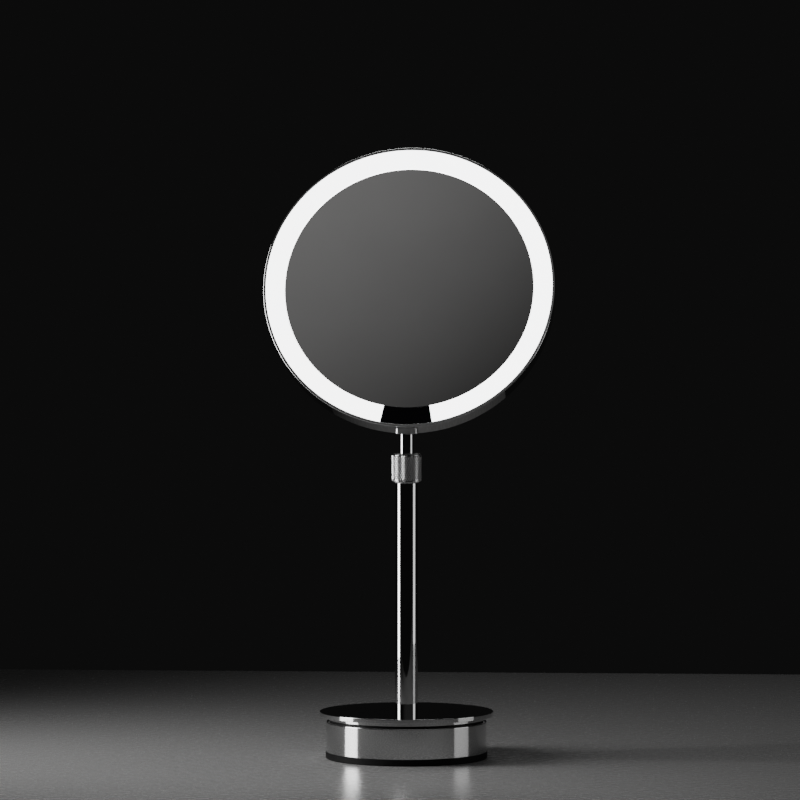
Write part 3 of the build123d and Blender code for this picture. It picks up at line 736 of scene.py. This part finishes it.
# ------------------------------------------------------------------ studio
def make_floor():
    """A grey, slightly glossy table top with softened edges. Sizes are in metres."""
    width, depth, ahead, behind = 3.2, 0.02, 0.66, 0.69
    corner, edge = 0.01, 0.002
    piece = rounded_block(
        "floor", width, ahead + behind, depth, corner,
        axes=Matrix.Translation((0, (behind - ahead) / 2, -depth)), edge=edge,
    )
    nodes = Nodes("pale_floor")
    fine = nodes.noise(160, detail=5)
    nodes.coloured(fine, (0.508, 0.506, 0.504), (0.520, 0.518, 0.516))
    nodes.glossed(fine, 0.265, 0.280)
    piece.data.materials.append(nodes.material)


def softbox(name, azimuth, distance, height, width, tall, power, aim, spread, glossy=True):
    """An area light aimed at a point. Azimuth 0 is the camera's side, and positive is to its right."""
    turn = math.radians(azimuth) + CAMERA_AZIMUTH
    at = Vector((distance * math.sin(turn), -distance * math.cos(turn), height))
    data = bpy.data.lights.new(name, "AREA")
    data.shape = "RECTANGLE"
    data.size = width
    data.size_y = tall
    data.energy = power
    data.spread = math.radians(spread)
    light = bpy.data.objects.new(name, data)
    bpy.context.collection.objects.link(light)
    light.location = at
    light.rotation_euler = (Vector(aim) - at).to_track_quat("-Z", "Y").to_euler()
    light.visible_camera = False
    light.visible_glossy = glossy


def make_world():
    """A dark studio with a soft glow in front and a little to the right, which fades out near the horizon."""
    dark, bright = (0.006, 0.006, 0.006, 1), (0.17, 0.17, 0.17, 1)
    world = bpy.data.worlds.new("studio")
    world.use_nodes = True
    tree = world.node_tree
    where = tree.nodes.new("ShaderNodeTexCoord").outputs["Generated"]

    def faded(source, start, end, blend):
        """0 at the source's start, 1 at its end."""
        node = tree.nodes.new("ShaderNodeMapRange")
        node.interpolation_type = blend
        for socket, value in (("From Min", start), ("From Max", end), ("To Min", 0.0), ("To Max", 1.0)):
            node.inputs[socket].default_value = value
        tree.links.new(source, node.inputs["Value"])
        return node.outputs["Result"]

    turn, rise = math.radians(20) + CAMERA_AZIMUTH, math.radians(2)
    towards = tree.nodes.new("ShaderNodeVectorMath")
    towards.operation = "DOT_PRODUCT"
    towards.inputs[1].default_value = (
        math.cos(rise) * math.sin(turn), -math.cos(rise) * math.cos(turn), math.sin(rise),
    )
    tree.links.new(where, towards.inputs[0])
    split = tree.nodes.new("ShaderNodeSeparateXYZ")
    tree.links.new(where, split.inputs[0])
    both = tree.nodes.new("ShaderNodeMath")
    both.operation = "MULTIPLY"
    # The glow starts 60 degrees away from its middle, and just above the horizon.
    tree.links.new(faded(towards.outputs["Value"], 0.5, 0.9, "LINEAR"), both.inputs[0])
    tree.links.new(faded(split.outputs["Z"], 0.05, 0.28, "SMOOTHSTEP"), both.inputs[1])
    shade = tree.nodes.new("ShaderNodeMix")
    shade.data_type = "RGBA"
    tree.links.new(both.outputs[0], shade.inputs[0])
    shade.inputs[6].default_value = dark
    shade.inputs[7].default_value = bright
    tree.links.new(shade.outputs[2], tree.nodes["Background"].inputs["Color"])
    bpy.context.scene.world = world


make_floor()
make_world()
softbox("left_box", -84.5, 0.8, 0.42, 0.34, 0.88, 3.0, aim=(0, 0, 0.34), spread=100)
softbox("right_box", 84, 1.0, 0.16, 0.48, 0.34, 0.22, aim=(0, 0, 0.2), spread=100)
softbox("floor_box", -74, 0.36, 0.8, 0.25, 0.25, 0.12, aim=(-0.33, -0.05, 0), spread=60, glossy=False)
softbox("rear_box", 180, 0.6, 0.85, 0.5, 0.25, 0.15, aim=(0, 0, 0.37), spread=40)
